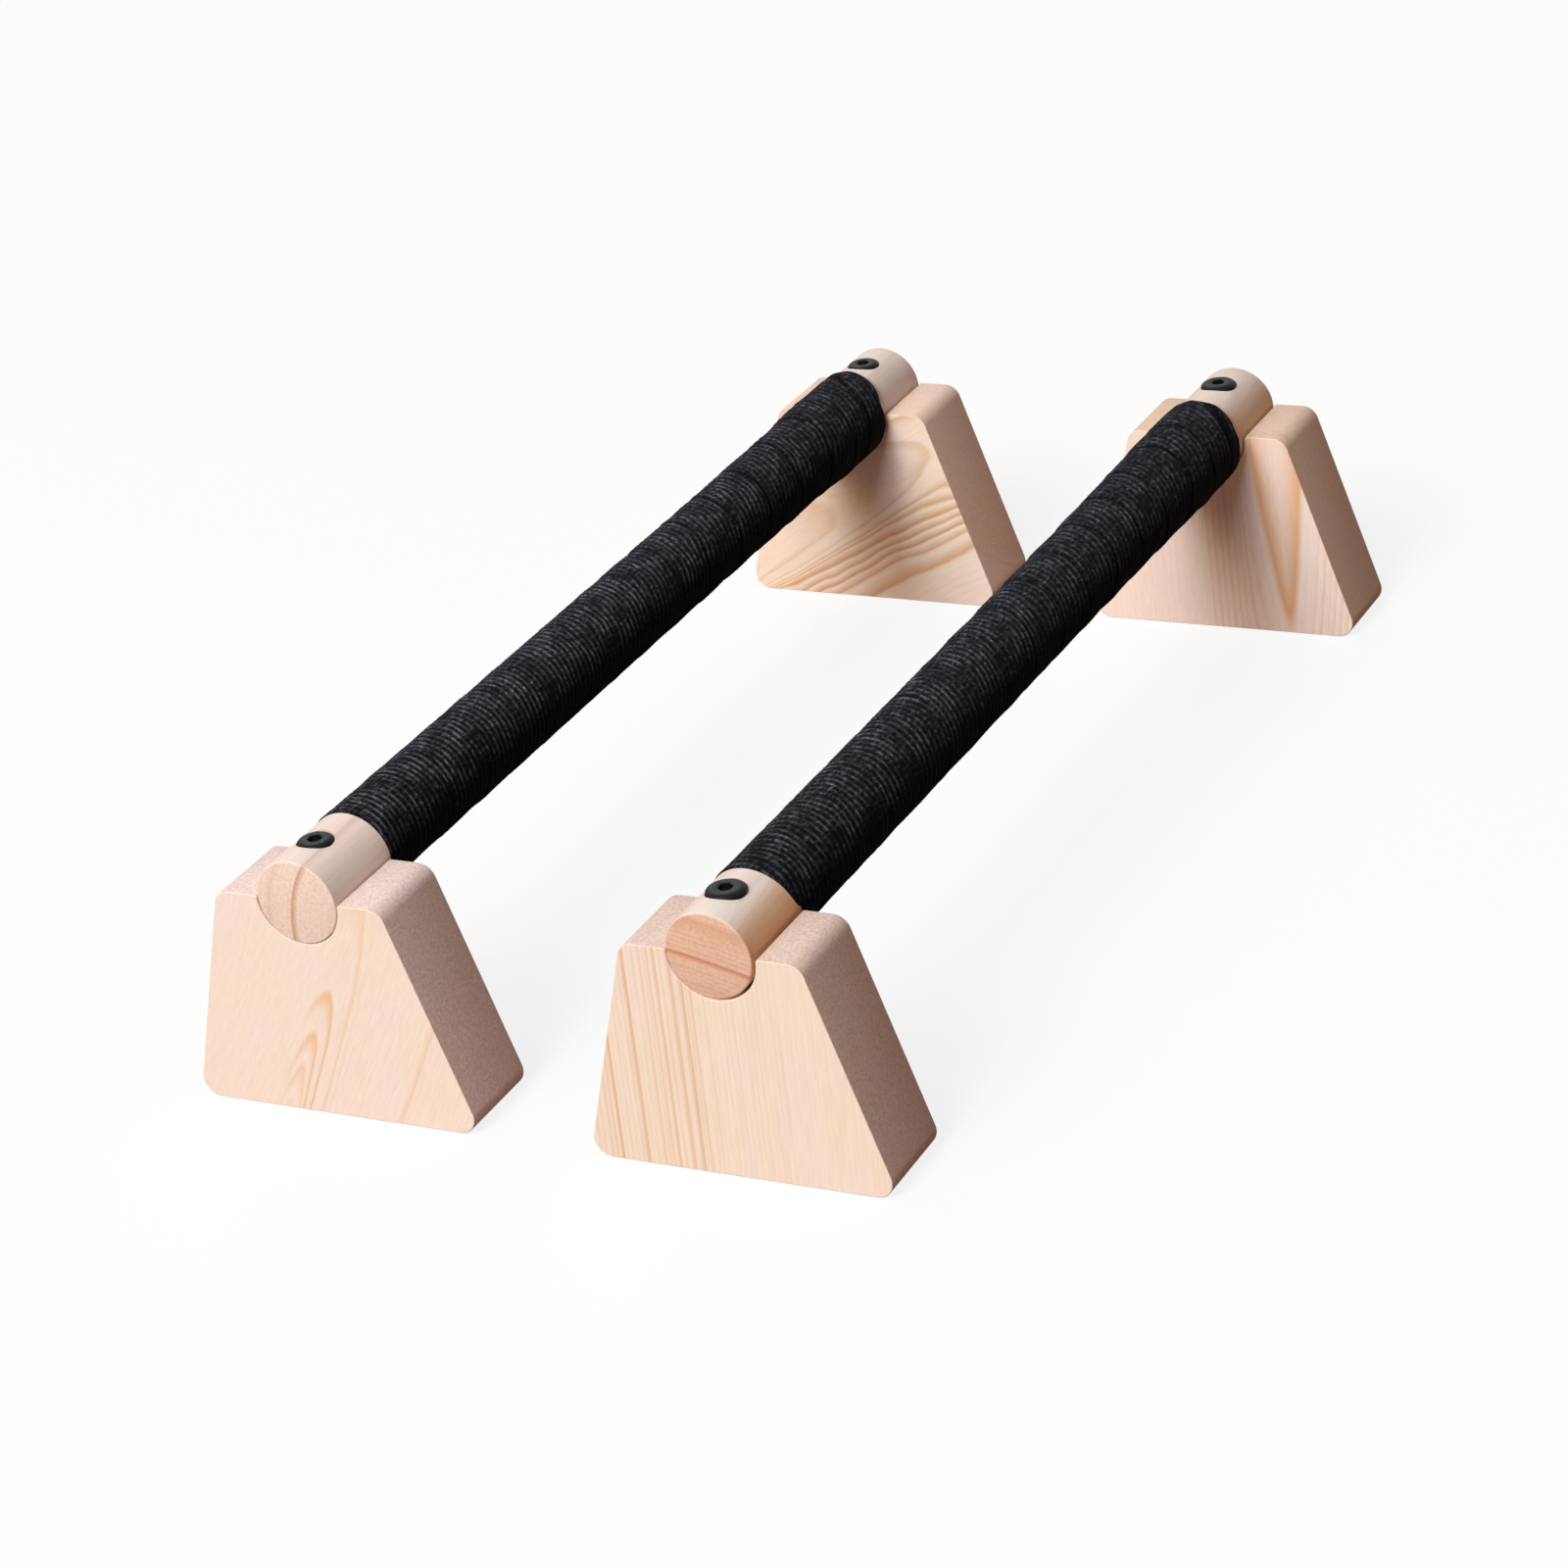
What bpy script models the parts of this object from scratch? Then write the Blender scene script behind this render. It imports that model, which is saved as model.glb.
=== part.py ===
"""A pair of low wooden parallel bars: two round beech handrails, each lying in half-round grooves in two
tapered pine feet, held by a socket-head bolt and an insert nut at each foot, with a grip of elastic
bandage wound round the rail between the feet.

Metres, +Z up. The rails run along Y. The origin is on the floor, midway between the two bars.
"""
import math

import bmesh
import bpy
from mathutils import Matrix, Vector

# Handrail
RAIL_LENGTH = 0.500
RAIL_DIAMETER = 0.034
RAIL_SIDES = 48
RAIL_AXIS_BELOW_LAND = 0.001

# How far apart the two bars stand, rail centre to rail centre
BAR_SPACING = 0.171

# Foot, a tapered block with its four long edges rounded
FOOT_BASE_WIDTH = 0.125
FOOT_TOP_WIDTH = 0.071
FOOT_HEIGHT = 0.091
FOOT_THICKNESS = 0.037
FOOT_BASE_RADIUS = 0.007
FOOT_TOP_RADIUS = 0.008
FOOT_CORNER_SEGMENTS = 6

# Play between pieces that lie against each other
SEAT_CLEARANCE = 0.0003
GROOVE_SIDE_PLAY = 0.0005

# Socket-head bolt, one through the rail into each foot
HEAD_DIAMETER = 0.015
HEAD_FLAT_DIAMETER = 0.0098
HEAD_RIM = 0.0009
HEAD_HEIGHT = 0.0028
HEAD_SUNK = 0.0020
HEAD_DOME_STEPS = 4
SOCKET_ACROSS_FLATS = 0.0050
SOCKET_DEPTH = 0.0020
SHANK_DIAMETER = 0.008
SHANK_TIP_CHAMFER = 0.001
BOLT_SHORT_OF_INSERT_END = 0.002
BOLT_SIDES = 24

# Insert nut, screwed into the foot under the groove
INSERT_DIAMETER = 0.012
INSERT_ROOT_DIAMETER = 0.0106
INSERT_LENGTH = 0.015
INSERT_RIDGES = 3
INSERT_BELOW_GROOVE = 0.0005
BORE_PAST_BOLT = 0.003

# Grip: bandage wound along the rail, each turn lying proud of the turn before
TAPE_PITCH = 0.0265
TAPE_THICKNESS = 0.0005
TAPE_LAP_STEP = 0.0003
TAPE_TURN_GAP = 0.0006
TAPE_POINTS_PER_TURN = 24
GRIP_FRONT_GAP = 0.002
LEFT_GRIP_REAR_GAP = 0.0015
RIGHT_GRIP_REAR_GAP = 0.005

# Cutters run past what they cut by this much
OVERCUT = 0.004

ENDS = {"front": -1, "rear": 1}

RAIL_RADIUS = RAIL_DIAMETER / 2
RAIL_AXIS_HEIGHT = FOOT_HEIGHT - RAIL_AXIS_BELOW_LAND
RAIL_TOP = RAIL_AXIS_HEIGHT + RAIL_RADIUS
GROOVE_RADIUS = RAIL_RADIUS + GROOVE_SIDE_PLAY
GROOVE_BOTTOM = RAIL_AXIS_HEIGHT - RAIL_RADIUS - SEAT_CLEARANCE
HEAD_SEAT = RAIL_TOP - HEAD_SUNK
INSERT_TOP = GROOVE_BOTTOM - INSERT_BELOW_GROOVE
INSERT_BOTTOM = INSERT_TOP - INSERT_LENGTH
BOLT_TIP = INSERT_BOTTOM + BOLT_SHORT_OF_INSERT_END
FOOT_CENTRE = (RAIL_LENGTH - FOOT_THICKNESS) / 2
FOOT_INNER_FACE = RAIL_LENGTH / 2 - FOOT_THICKNESS
ALONG_Y = Matrix.Rotation(-math.pi / 2, 4, "X")


def clear_scene():
    """Start from an empty scene."""
    for obj in list(bpy.data.objects):
        bpy.data.objects.remove(obj, do_unlink=True)


def make_collection(name):
    """A collection in the scene."""
    collection = bpy.data.collections.new(name)
    bpy.context.scene.collection.children.link(collection)
    return collection


def make_material(name, colour, roughness, metallic=0.0):
    """A plain Principled material."""
    material = bpy.data.materials.new(name)
    material.use_nodes = True
    shader = material.node_tree.nodes["Principled BSDF"]
    shader.inputs["Base Color"].default_value = (*colour, 1.0)
    shader.inputs["Roughness"].default_value = roughness
    shader.inputs["Metallic"].default_value = metallic
    return material


def add_object(name, mesh, collection, parent, location=(0, 0, 0), material=None):
    """Put a mesh in a collection, placed under its bar's empty."""
    obj = bpy.data.objects.new(name, mesh)
    collection.objects.link(obj)
    obj.parent = parent
    obj.location = location
    if material is not None:
        mesh.materials.append(material)
    if collection is CUTTERS:
        obj.hide_render = True
        obj.display_type = "WIRE"
    return obj


def mesh_from(bm, name, smooth_angle=math.radians(35)):
    """Store a bmesh as a mesh that is shaded smooth up to a given angle."""
    mesh = bpy.data.meshes.new(name)
    bm.to_mesh(mesh)
    bm.free()
    mesh.shade_smooth()
    mesh.set_sharp_from_angle(angle=smooth_angle)
    return mesh


def cylinder(name, radius, low, high, sides, turn=0.0):
    """A closed cylinder on the Z axis between two heights, with its first corner turned from +X."""
    bm = bmesh.new()
    place = Matrix.Translation((0, 0, (low + high) / 2)) @ Matrix.Rotation(turn, 4, "Z")
    bmesh.ops.create_cone(bm, cap_ends=True, segments=sides, radius1=radius, radius2=radius,
                          depth=high - low, matrix=place)
    return mesh_from(bm, name)


def turned(name, profile, sides, closed=False, turns=1, rise=0.0):
    """Turn an (x, z) profile about the Z axis; a rise per turn winds it up the axis instead."""
    bm = bmesh.new()
    points = [bm.verts.new((x, 0, z)) for x, z in profile]
    for first, second in zip(points, points[1:]):
        bm.edges.new((first, second))
    if closed:
        bm.edges.new((points[-1], points[0]))
    mesh = bpy.data.meshes.new(name)
    bm.to_mesh(mesh)
    bm.free()
    blank = bpy.data.objects.new(name, mesh)
    bpy.context.scene.collection.objects.link(blank)
    screw = blank.modifiers.new("turn", "SCREW")
    screw.axis = "Z"
    screw.angle = 2 * math.pi
    screw.steps = sides
    screw.render_steps = sides
    screw.iterations = turns
    screw.screw_offset = rise
    screw.use_merge_vertices = rise == 0.0
    screw.merge_threshold = 0.00001
    result = bpy.data.meshes.new_from_object(blank.evaluated_get(bpy.context.evaluated_depsgraph_get()))
    bpy.data.objects.remove(blank, do_unlink=True)
    bpy.data.meshes.remove(mesh)
    bm = bmesh.new()
    bm.from_mesh(result)
    bpy.data.meshes.remove(result)
    if rise != 0.0:
        bmesh.ops.holes_fill(bm, edges=[edge for edge in bm.edges if edge.is_boundary], sides=0)
    bmesh.ops.recalc_face_normals(bm, faces=bm.faces)
    return mesh_from(bm, name)


def cut(obj, cutter, operation="DIFFERENCE"):
    """Leave a Boolean modifier on a piece."""
    modifier = obj.modifiers.new(cutter.name, "BOOLEAN")
    modifier.operation = operation
    modifier.object = cutter
    return modifier


def foot_mesh(name):
    """A block narrowed to its top width, with rounded edges along Y: a tangent arc of radius r on an edge
    of inner angle a starts r / tan(a / 2) from the edge."""
    slope = math.atan2(FOOT_HEIGHT, (FOOT_BASE_WIDTH - FOOT_TOP_WIDTH) / 2)
    bm = bmesh.new()
    bmesh.ops.create_cube(bm, size=1.0)
    for vert in bm.verts:
        width = FOOT_TOP_WIDTH if vert.co.z > 0 else FOOT_BASE_WIDTH
        vert.co = Vector((vert.co.x * width, vert.co.y * FOOT_THICKNESS, (vert.co.z + 0.5) * FOOT_HEIGHT))
    for at_top, radius, angle in ((False, FOOT_BASE_RADIUS, slope), (True, FOOT_TOP_RADIUS, math.pi - slope)):
        edges = [edge for edge in bm.edges
                 if all((vert.co.z > FOOT_HEIGHT / 2) == at_top for vert in edge.verts)
                 and abs(edge.verts[0].co.y - edge.verts[1].co.y) > FOOT_THICKNESS / 2]
        bmesh.ops.bevel(bm, geom=edges, offset=radius / math.tan(angle / 2), offset_type="OFFSET",
                        segments=FOOT_CORNER_SEGMENTS, profile=0.5, affect="EDGES")
    return mesh_from(bm, name, math.radians(20))


def head_dome():
    """Points from the head's flat top down its quarter-ellipse shoulder to its rim."""
    flat, rim = HEAD_FLAT_DIAMETER / 2, HEAD_DIAMETER / 2
    rise = HEAD_HEIGHT - HEAD_RIM
    angles = [math.pi / 2 * step / HEAD_DOME_STEPS for step in range(HEAD_DOME_STEPS + 1)]
    return [(flat + (rim - flat) * math.sin(a), HEAD_SEAT + HEAD_RIM + rise * math.cos(a)) for a in angles]


def bolt_mesh(name):
    """Turned bolt: domed head, shank through the rail, chamfered tip in the insert."""
    shank = SHANK_DIAMETER / 2
    profile = [(0, HEAD_SEAT + HEAD_HEIGHT), *head_dome(),
               (HEAD_DIAMETER / 2, HEAD_SEAT + SEAT_CLEARANCE),
               (shank, HEAD_SEAT + SEAT_CLEARANCE),
               (shank, BOLT_TIP + SHANK_TIP_CHAMFER),
               (shank - SHANK_TIP_CHAMFER, BOLT_TIP),
               (0, BOLT_TIP)]
    return turned(name, profile, BOLT_SIDES)


def insert_mesh(name):
    """Turned sleeve with coarse outer ridges, bored to take the bolt."""
    bore = SHANK_DIAMETER / 2 + SEAT_CLEARANCE
    ridge, root = INSERT_DIAMETER / 2, INSERT_ROOT_DIAMETER / 2
    step = INSERT_LENGTH / (2 * INSERT_RIDGES)
    outside = [(ridge if n % 2 else root, INSERT_TOP - n * step) for n in range(2 * INSERT_RIDGES + 1)]
    return turned(name, [*outside, (bore, INSERT_BOTTOM), (bore, INSERT_TOP)], BOLT_SIDES, closed=True)


def rail_hole_mesh(name):
    """Counterbored hole for one bolt: a flat seat for the head, then a hole past the rail's underside."""
    seat = HEAD_DIAMETER / 2 + SEAT_CLEARANCE
    hole = SHANK_DIAMETER / 2 + SEAT_CLEARANCE
    top, bottom = RAIL_TOP + OVERCUT, GROOVE_BOTTOM - OVERCUT
    return turned(name, [(0, top), (seat, top), (seat, HEAD_SEAT), (hole, HEAD_SEAT), (hole, bottom),
                         (0, bottom)], BOLT_SIDES)


def foot_bore_mesh(name):
    """Blind bore down from the groove: wide for the insert nut, then a hole past the bolt's tip."""
    wide = INSERT_DIAMETER / 2 + SEAT_CLEARANCE
    hole = SHANK_DIAMETER / 2 + SEAT_CLEARANCE
    shoulder = INSERT_BOTTOM - SEAT_CLEARANCE
    bottom = min(BOLT_TIP, shoulder) - BORE_PAST_BOLT
    return turned(name, [(0, RAIL_AXIS_HEIGHT), (wide, RAIL_AXIS_HEIGHT), (wide, shoulder), (hole, shoulder),
                         (hole, bottom), (0, bottom)], BOLT_SIDES)


def grip_mesh(name, length):
    """A band wound along the Z axis, one pitch a turn, thicker at its lower edge, which laps over the turn
    before. It starts a pitch above the grip's top end and is wound down past its bottom end."""
    inner = RAIL_RADIUS + SEAT_CLEARANCE
    covered, lapped = inner + TAPE_THICKNESS, inner + TAPE_THICKNESS + TAPE_LAP_STEP
    width = TAPE_PITCH - TAPE_TURN_GAP
    top = length + TAPE_PITCH
    section = [(covered, top), (lapped, top - width), (inner, top - width), (inner, top)]
    gap = round(1000 * least_turn_gap(section), 3)
    print(name, "turns", round(length / TAPE_PITCH, 1), "least gap between turns in mm", gap)
    turns = math.ceil(length / TAPE_PITCH) + 2
    return turned(name, section, TAPE_POINTS_PER_TURN, closed=True, turns=turns, rise=-TAPE_PITCH)


def least_turn_gap(section):
    """Smallest distance from a point on one turn's lower edge to the next turn's upper edge, on points."""
    def edge(corners, turn):
        steps = range(turn * TAPE_POINTS_PER_TURN, (turn + 1) * TAPE_POINTS_PER_TURN + 1)
        angles = [2 * math.pi * step / TAPE_POINTS_PER_TURN for step in steps]
        return [Vector((r * math.cos(a), r * math.sin(a), z - TAPE_PITCH * a / (2 * math.pi)))
                for a in angles for r, z in corners]
    lower, upper = edge(section[1:3], 0), edge((section[0], section[3]), 1)
    return min((p - q).length for p in lower for q in upper)


def build_bar(side, x, grip_rear_gap):
    """One whole bar under its own empty, which stands on the floor at the bar's middle."""
    bar = bpy.data.objects.new(side + "_bar", None)
    PARTS.objects.link(bar)
    bar.location = (x, 0, 0)

    rail = cylinder(side + "_handrail", RAIL_RADIUS, -RAIL_LENGTH / 2, RAIL_LENGTH / 2, RAIL_SIDES)
    rail.transform(ALONG_Y)
    rail = add_object(side + "_handrail", rail, PARTS, bar, (0, 0, RAIL_AXIS_HEIGHT), BEECH)

    half = RAIL_LENGTH / 2 + OVERCUT
    groove = cylinder(side + "_groove", GROOVE_RADIUS, -half, half, RAIL_SIDES)
    groove.transform(ALONG_Y)
    groove = add_object(side + "_groove", groove, CUTTERS, bar, (0, 0, GROOVE_BOTTOM + GROOVE_RADIUS))

    for end, sign in ENDS.items():
        name = side + "_" + end
        place = (0, sign * FOOT_CENTRE, 0)
        foot = add_object(name + "_foot", foot_mesh(name + "_foot"), PARTS, bar, place, PINE)
        add_object(name + "_insert_nut", insert_mesh(name + "_insert_nut"), PARTS, bar, place, ZINC)
        bolt = add_object(name + "_bolt", bolt_mesh(name + "_bolt"), PARTS, bar, place, BLACK_STEEL)
        socket = cylinder(name + "_socket", SOCKET_ACROSS_FLATS / math.sqrt(3),
                          HEAD_SEAT + HEAD_HEIGHT - SOCKET_DEPTH, RAIL_TOP + OVERCUT, 6)
        cut(bolt, add_object(name + "_socket", socket, CUTTERS, bar, place))
        cut(rail, add_object(name + "_rail_hole", rail_hole_mesh(name + "_rail_hole"), CUTTERS, bar, place))
        cut(foot, groove)
        cut(foot, add_object(name + "_foot_bore", foot_bore_mesh(name + "_foot_bore"), CUTTERS, bar, place))

    start = -FOOT_INNER_FACE + GRIP_FRONT_GAP
    length = FOOT_INNER_FACE - grip_rear_gap - start
    grip = grip_mesh(side + "_grip_wrap", length)
    grip.transform(ALONG_Y)
    grip = add_object(side + "_grip_wrap", grip, PARTS, bar, (0, start, RAIL_AXIS_HEIGHT), BANDAGE)
    trim = cylinder(side + "_grip_ends", RAIL_RADIUS + OVERCUT, 0, length, RAIL_SIDES)
    trim.transform(ALONG_Y)
    cut(grip, add_object(side + "_grip_ends", trim, CUTTERS, bar, grip.location), "INTERSECT")


clear_scene()
PARTS = make_collection("parallel_bars")
CUTTERS = make_collection("cutters")
PINE = make_material("pine", (0.86, 0.69, 0.53), 0.6)
BEECH = make_material("beech", (0.80, 0.59, 0.42), 0.5)
BANDAGE = make_material("elastic_bandage", (0.012, 0.012, 0.014), 0.9)
BLACK_STEEL = make_material("black_oxide_steel", (0.015, 0.015, 0.017), 0.35, 1.0)
ZINC = make_material("zinc_alloy", (0.62, 0.60, 0.55), 0.35, 1.0)
build_bar("left", -BAR_SPACING / 2, LEFT_GRIP_REAR_GAP)
build_bar("right", BAR_SPACING / 2, RIGHT_GRIP_REAR_GAP)
bpy.context.view_layer.update()
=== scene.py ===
"""Finished look of a pair of low wooden parallel bars: sanded pine feet, beech rails, a black elastic bandage
wound round each rail as a grip, and black socket-head bolts.

Metres. X runs across the pair, Y along the rails and Z up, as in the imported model.
"""
import math

import bpy
import numpy as np
from mathutils import Matrix, Vector


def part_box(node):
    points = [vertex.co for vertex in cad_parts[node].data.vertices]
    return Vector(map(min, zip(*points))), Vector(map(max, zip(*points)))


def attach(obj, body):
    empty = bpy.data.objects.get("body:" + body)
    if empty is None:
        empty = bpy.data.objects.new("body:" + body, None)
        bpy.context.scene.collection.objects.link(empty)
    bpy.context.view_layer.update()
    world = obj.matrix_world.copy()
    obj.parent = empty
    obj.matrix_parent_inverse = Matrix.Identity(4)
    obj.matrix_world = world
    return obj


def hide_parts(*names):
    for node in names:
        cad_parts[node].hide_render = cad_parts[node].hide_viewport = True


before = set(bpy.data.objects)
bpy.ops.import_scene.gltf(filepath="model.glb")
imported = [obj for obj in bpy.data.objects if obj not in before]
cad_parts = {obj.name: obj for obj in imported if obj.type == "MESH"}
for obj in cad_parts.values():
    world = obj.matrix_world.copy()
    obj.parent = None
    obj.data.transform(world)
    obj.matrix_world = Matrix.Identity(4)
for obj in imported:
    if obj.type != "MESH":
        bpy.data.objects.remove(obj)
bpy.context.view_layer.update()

MM = 0.001

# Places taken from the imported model
RAIL_LOW, RAIL_HIGH = (np.array(corner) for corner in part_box("left_handrail"))
RAIL_RADIUS = (RAIL_HIGH[0] - RAIL_LOW[0]) / 2
RAIL_HALF = RAIL_HIGH[1]
AXIS_Z = (RAIL_LOW[2] + RAIL_HIGH[2]) / 2
BAR_X = {side: float(np.mean([corner[0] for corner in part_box(side + "_handrail")]))
         for side in ("left", "right")}

# Steps of the quarter circle that rounds an edge
EDGE_STEPS = 4

# Feet: half widths and corner radii of the outline, its edges, and the groove for the rail. The right front
# groove is a little wide and off its rail.
FOOT_BASE_HALF = 62.5 * MM
FOOT_TOP_HALF = 35.5 * MM
FOOT_BASE_RADIUS = 7 * MM
FOOT_TOP_RADIUS = 6.8 * MM
FOOT_EDGE_RADIUS = 0.4 * MM
GROOVE_LIP_RADIUS = 1.1 * MM
GROOVE_USUAL_PLAY = 0.5 * MM
GROOVE_PLAY = {"right_front": 0.8 * MM}
GROOVE_SHIFT = {"right_front": 0.65 * MM}
GROOVE_Z = AXIS_Z + 0.2 * MM

# Rails
RAIL_EDGE_RADIUS = 0.7 * MM
RAIL_POINTS = 128

# Bolts. The left heads are a little smaller and sit deeper. HEAD_FLAT is the flat share of a head's radius.
BOLT_POINTS = 96
HEAD_RADIUS = {"left": 6.9 * MM, "right": 7.5 * MM}
HEAD_SINK = {"left": 0.5 * MM, "right": 0.0}
HEAD_FLAT = 0.67
HEAD_RIM = 0.8 * MM
HEAD_EDGE = 0.15 * MM
HEAD_DOME_STEPS = 8
SEAT_DEPTH = 2.0 * MM
SEAT_PLAY = 0.3 * MM
SEAT_POINTS = 64
SEAT_TOOL_HEIGHT = 0.01
SOCKET_FLATS = 5.0 * MM
SOCKET_DEPTH = 2.0 * MM
SOCKET_BEVEL = 0.25 * MM
SHANK_RADIUS = 4.0 * MM
SHANK_CHAMFER = 1 * MM

# Grip: the points of its mesh and its thickness. It swells by BUILD_UP, given as places along the rail and
# the swelling at each.
GRIP_AROUND = 96
GRIP_ALONG = 1010
GRIP_INNER = RAIL_RADIUS + 0.03 * MM
GRIP_BASE = RAIL_RADIUS + 0.14 * MM
GRIP_LEAST = 0.04 * MM
GRIP_UNEVENNESS = 0.07 * MM
GRIP_END_ROUNDING = 0.9 * MM
BUILD_UP = {"left": np.array([[-211, -204, 95, 110, 155, 178, 230], [0.3, 0, 0, 0.3, 0.4, 1.6, 1.7]]) * MM,
            "right": np.array([[-211, -204, 10, 80, 140, 170, 230], [0.2, 0, 0, 0.3, 0.9, 1.6, 1.7]]) * MM}

# Ends of the tape. On top of the rail it goes past its solid by FRONT_REACH; REAR_REACH is how far it goes
# all round and how much more on top. A slant is the angle above level where that starts, in degrees, and
# its power.
FRONT_REACH = {"left": 0.0, "right": 5.5 * MM}
REAR_REACH = {"left": (-0.5 * MM, 6.5 * MM), "right": (-2.6 * MM, 3.6 * MM)}
FRONT_SLANT = (5, 0.4)
REAR_SLANT = (25, 0.7)

# Laps: one a pitch up to the first chosen place, then at the chosen ones. They show more towards the rear.
LAP_PITCH = 26.5 * MM
LAP_STEP = 0.35 * MM
LAP_EDGE = 1.5 * MM
LAP_BOLDNESS = [-40 * MM, 90 * MM], [0.35, 1.0]
EVEN_LAPS = 40
LAPS = {"left": np.array([73, 100, 130, 160, 180, 193]) * MM,
        "right": np.array([100, 126, 152, 176, 196]) * MM}

# Threads, at the spacing measured in the photograph. THREAD_CLIMB is the ridges that a thread climbs in a
# turn, by the number of the lap; the others go by the place along the rail. RIDGE_BRIGHTNESS scales how
# bright a grip's ridges are drawn.
THREAD_SPACING = {"left": 3.05 * MM, "right": 3.3 * MM}
THREAD_RIDGE = 0.32 * MM
THREAD_CLIMB = [29, 32, 36, 44], [4, 8, 11, 12]
THREAD_STRENGTH = [-200 * MM, 0], [0.8, 1.15]
THREAD_CONTRAST = 1.3
RIDGE_BRIGHTNESS = {"left": 1.0, "right": 0.78}
RIDGE_BRIGHTNESS_ALONG = [-200 * MM, 0, 200 * MM], [1.4, 0.82, 0.62]
# Painted shade: the share by which the colour in the creases between laps goes to black
CREASE_SHADE = 0.85

# Sawn faces of the wood, as timber() takes them
ROUGH_SIDE = (0.95, 0.35, 1.0, 0.2, 0.77, 1.19)
FINE_SIDE = (0.95, 0.35, 1.0, 0.2, 0.87, 1.10)
RAIL_END = (0.35, 0.95, 0.45, 1.0, 0.86, 1.10)
FLANK_END = 200 * MM

# Light: lamps far off that aim a little above the floor, a warm fill from the sky, and a floor just under the
# feet that glows where the camera sees it
LAMP_DISTANCE = 9.0
LAMP_AIM = (0, 0, 0.05)
WARM = (1.0, 0.58, 0.43)
FILL_STRENGTH = 0.12
FLOOR_HALF = 6.0
FLOOR_HEIGHTS = (-0.02, -0.0003)
FLOOR_GLOW = 0.85

# Camera, solved from the straight edges of the feet
CAMERA_AT = (0.7907, -1.3768, 0.8049)
CAMERA_AZIMUTH = math.radians(30.54)
CAMERA_ELEVATION = math.radians(26.18)
CAMERA_ROLL = math.radians(-8.42)
CAMERA_LENS = 100.0
CAMERA_FILM = 36.0


def linear(code):
    """An sRGB hex colour as linear red, green, blue and alpha."""
    values = [int(code[n:n + 2], 16) / 255 for n in (1, 3, 5)]
    return (*(v / 12.92 if v <= 0.04045 else ((v + 0.055) / 1.055) ** 2.4 for v in values), 1.0)


def node(tree, kind, links=None, **settings):
    """Add a node. Settings are its properties; links give each input a value or another node's output."""
    made = tree.nodes.new(kind)
    for key, value in settings.items():
        setattr(made, key, value)
    for key, value in (links or {}).items():
        if isinstance(value, bpy.types.NodeSocket):
            tree.links.new(value, made.inputs[key])
        else:
            made.inputs[key].default_value = value
    return made


def new_material(name):
    """A new material, its node tree and its Principled shader, which is joined to the output."""
    material = bpy.data.materials.new(name)
    material.use_nodes = True
    tree = material.node_tree
    tree.nodes.clear()
    shader = node(tree, "ShaderNodeBsdfPrincipled")
    node(tree, "ShaderNodeOutputMaterial", {"Surface": shader.outputs["BSDF"]})
    return material, tree, shader


def set_stops(ramp, stops):
    """Give a colour ramp its stops, as (place, colour)."""
    elements = ramp.color_ramp.elements
    while len(elements) < len(stops):
        elements.new(0.5)
    for element, (place, colour) in zip(elements, stops):
        element.position = place
        element.color = colour


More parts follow.
